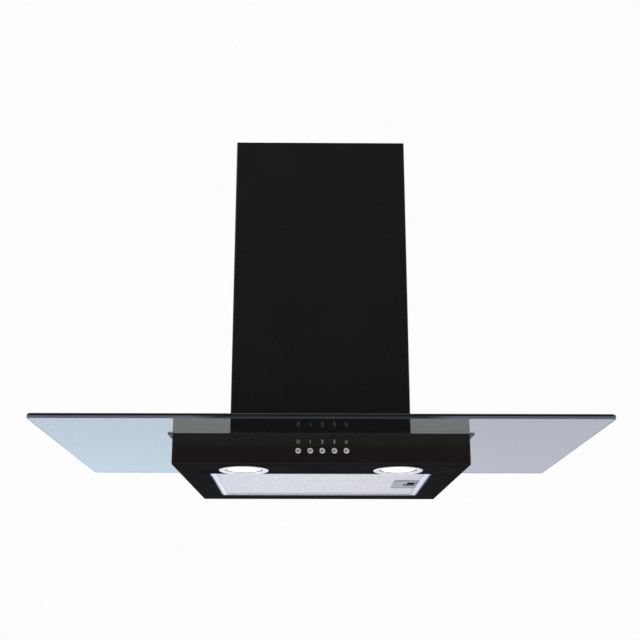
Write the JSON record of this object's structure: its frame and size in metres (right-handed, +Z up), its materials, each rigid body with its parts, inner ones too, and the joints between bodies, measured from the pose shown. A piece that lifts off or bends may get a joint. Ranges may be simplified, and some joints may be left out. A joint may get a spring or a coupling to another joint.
{
  "type": "range hood",
  "caption": "Wall-mounted kitchen range hood: flat glass canopy over a shallow black body with grease filter, lamps, push buttons, blower and telescopic chimney cover.",
  "frame": {"origin": "centre of the body's back face, on the wall plane", "axes": "+X to the hood's right as seen from the front, +Y into the wall, +Z up; the front faces -Y"},
  "size_m": [0.9, 0.51, 0.6509],
  "materials": {
    "enamel": "gloss black enamel on sheet steel",
    "canopy_glass": "grey-tinted tempered glass with polished edges",
    "gasket": "grey seal",
    "galvanised": "galvanised sheet",
    "filter_frame": "satin anodised",
    "filter_mesh": "expanded mesh",
    "latch_plastic": "grey satin",
    "dark_plastic": "black satin",
    "white_plastic": "off-white satin",
    "fan_plastic": "grey satin",
    "chrome": "polished",
    "lamp_trim": "bright satin",
    "lamp_reflector": "polished reflector",
    "lamp_glass": "emissive",
    "ceramic": "unglazed ceramic",
    "steel": "plain steel",
    "circuit_board": "printed circuit board",
    "lead_sheath": "insulated lead"
  },
  "bodies": {
    "hood": {"body_shell": "enamel", "chimney_lower": "enamel", "top_deck": "galvanised", "back_panel": "galvanised", "glass_clamp_frame": "galvanised", "motor_bracket": "galvanised", "blower_frame": "galvanised", "wall_hanger_left": "galvanised", "wall_hanger_right": "galvanised", "glass_gasket": "gasket", "glass_canopy": "canopy_glass", "clamp_screw_1": "steel", "clamp_screw_2": "steel", "clamp_screw_3": "steel", "clamp_screw_4": "steel", "motor_case": "steel", "flap_pin": "steel", "lamp_transformer": "dark_plastic", "switch_housing": "dark_plastic", "scroll_left": "dark_plastic", "scroll_right": "dark_plastic", "outlet_collar": "dark_plastic", "duct_adapter": "dark_plastic", "cable_gland": "dark_plastic", "switch_board": "circuit_board", "capacitor": "white_plastic", "terminal_box": "white_plastic", "terminal_box_lid": "white_plastic", "motor_lead": "lead_sheath", "control_lead": "lead_sheath", "lamp_lead_left": "lead_sheath", "lamp_lead_right": "lead_sheath", "lamp_trim_left": "lamp_trim", "lamp_trim_right": "lamp_trim", "lamp_lens_left": "lamp_glass", "lamp_lens_right": "lamp_glass", "lamp_bulb_left": "lamp_glass", "lamp_bulb_right": "lamp_glass", "lamp_reflector_left": "lamp_reflector", "lamp_reflector_right": "lamp_reflector", "lamp_socket_left": "ceramic", "lamp_socket_right": "ceramic"},
    "filter": {"filter_frame": "filter_frame", "filter_mesh_face": "filter_mesh", "filter_core": "filter_mesh", "filter_mesh_back": "filter_mesh", "latch_tray": "latch_plastic", "latch_spring": "steel"},
    "filter_latch": {"latch_slider": "dark_plastic"},
    "button_off": {"button_off": "chrome"},
    "button_speed_1": {"button_speed_1": "chrome"},
    "button_speed_2": {"button_speed_2": "chrome"},
    "button_speed_3": {"button_speed_3": "chrome"},
    "button_light": {"button_light": "chrome"},
    "fan": {"impeller": "fan_plastic", "motor_shaft": "steel"},
    "flap_front": {"flap_front": "white_plastic"},
    "flap_back": {"flap_back": "white_plastic"},
    "chimney_top": {"chimney_upper": "enamel", "chimney_bracket": "galvanised"}
  },
  "joints": [
    {"name": "filter_swing", "type": "hinge", "parent": "hood", "child": "filter", "pos_m": [-0.188, -0.174, -0.024], "axis": [0, 1, 0], "range_deg": [0, 80]},
    {"name": "latch_slide", "type": "slide", "parent": "filter", "child": "filter_latch", "axis": [-1, 0, 0], "range_m": [0, 0.006], "stiffness_N_per_m": 300},
    {"name": "button_off_press", "type": "slide", "parent": "hood", "child": "button_off", "axis": [0, 1, 0], "range_m": [0, 0.003], "stiffness_N_per_m": 300},
    {"name": "button_speed_1_press", "type": "slide", "parent": "hood", "child": "button_speed_1", "axis": [0, 1, 0], "range_m": [0, 0.003], "stiffness_N_per_m": 300},
    {"name": "button_speed_2_press", "type": "slide", "parent": "hood", "child": "button_speed_2", "axis": [0, 1, 0], "range_m": [0, 0.003], "stiffness_N_per_m": 300},
    {"name": "button_speed_3_press", "type": "slide", "parent": "hood", "child": "button_speed_3", "axis": [0, 1, 0], "range_m": [0, 0.003], "stiffness_N_per_m": 300},
    {"name": "button_light_press", "type": "slide", "parent": "hood", "child": "button_light", "axis": [0, 1, 0], "range_m": [0, 0.003], "stiffness_N_per_m": 300},
    {"name": "fan_spin", "type": "hinge", "parent": "hood", "child": "fan", "pos_m": [0, -0.15, 0.158], "axis": [1, 0, 0], "continuous": true},
    {"name": "flap_front_swing", "type": "hinge", "parent": "hood", "child": "flap_front", "pos_m": [0, -0.0914, 0.3052], "axis": [-1, 0, 0], "range_deg": [0, 80]},
    {"name": "flap_back_swing", "type": "hinge", "parent": "hood", "child": "flap_back", "pos_m": [0, -0.0914, 0.3052], "axis": [1, 0, 0], "range_deg": [0, 80]},
    {"name": "chimney_slide", "type": "slide", "parent": "hood", "child": "chimney_top", "axis": [0, 0, 1], "range_m": [0, 0.38]}
  ]
}
